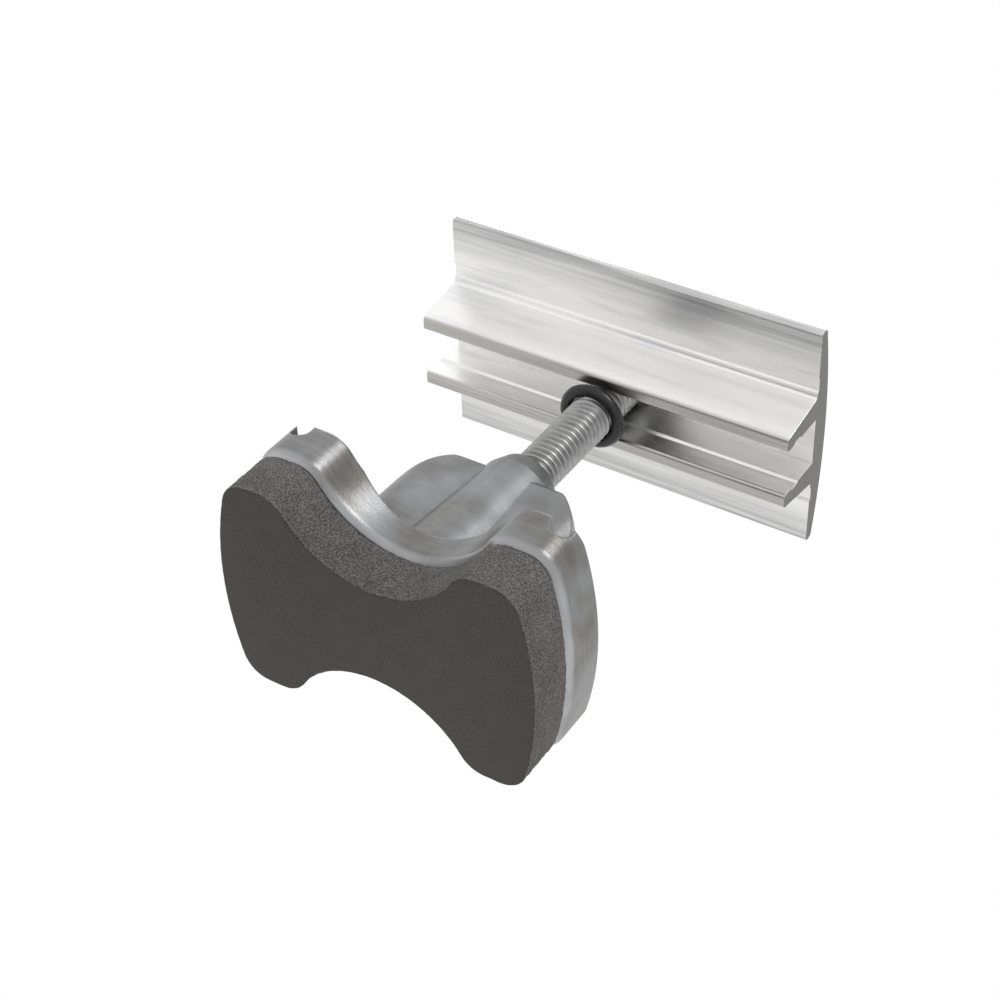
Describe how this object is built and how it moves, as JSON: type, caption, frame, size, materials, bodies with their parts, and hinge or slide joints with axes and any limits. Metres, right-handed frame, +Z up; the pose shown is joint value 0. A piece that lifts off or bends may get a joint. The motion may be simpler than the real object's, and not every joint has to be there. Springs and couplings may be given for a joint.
{
  "type": "solar mid clamp",
  "caption": "Mid clamp for solar modules: extruded aluminium clamp bar on a threaded bolt, standing on a winged cast foot with a thick rubber pad.",
  "frame": {"origin": "centre of the pad's lower face, on the bolt's axis", "axes": "+Z up along the bolt from the foot to the clamp bar; +X along the clamp bar and the foot's long side; +Y across them"},
  "size_m": [0.071, 0.043, 0.0906],
  "materials": {
    "cast_aluminium": "die cast, satin, slightly mottled",
    "foam_rubber": "closed-cell foam rubber, grainy cut sides and a smooth skin below",
    "extruded_aluminium": "mill finish with fine drawing lines",
    "bolt_steel": "stainless, satin",
    "washer_steel": "stainless, satin",
    "ring_rubber": "moulded, slightly glossy"
  },
  "bodies": {
    "foot": {"cast_foot": "cast_aluminium", "foot_pad": "foam_rubber"},
    "carriage": {"lock_washer": "washer_steel", "retaining_ring": "ring_rubber"},
    "bolt": {"clamp_bolt": "bolt_steel"},
    "clamp": {"clamp_bar": "extruded_aluminium"}
  },
  "joints": [
    {"name": "thread_travel", "type": "slide", "parent": "foot", "child": "carriage", "axis": [0, 0, 1], "range_m": [-0.01625, 0.01]},
    {"name": "bolt_turn", "type": "hinge", "parent": "carriage", "child": "bolt", "pos_m": [0, 0, 0.084], "axis": [0, 0, 1], "range_deg": [-4680, 2880]},
    {"name": "clamp_swivel", "type": "hinge", "parent": "carriage", "child": "clamp", "pos_m": [0, 0, 0.079], "axis": [0, 0, 1], "continuous": true}
  ],
  "couplings": [
    {"joint": "bolt_turn", "follows": "thread_travel", "rad_per_m": 5026.5}
  ]
}
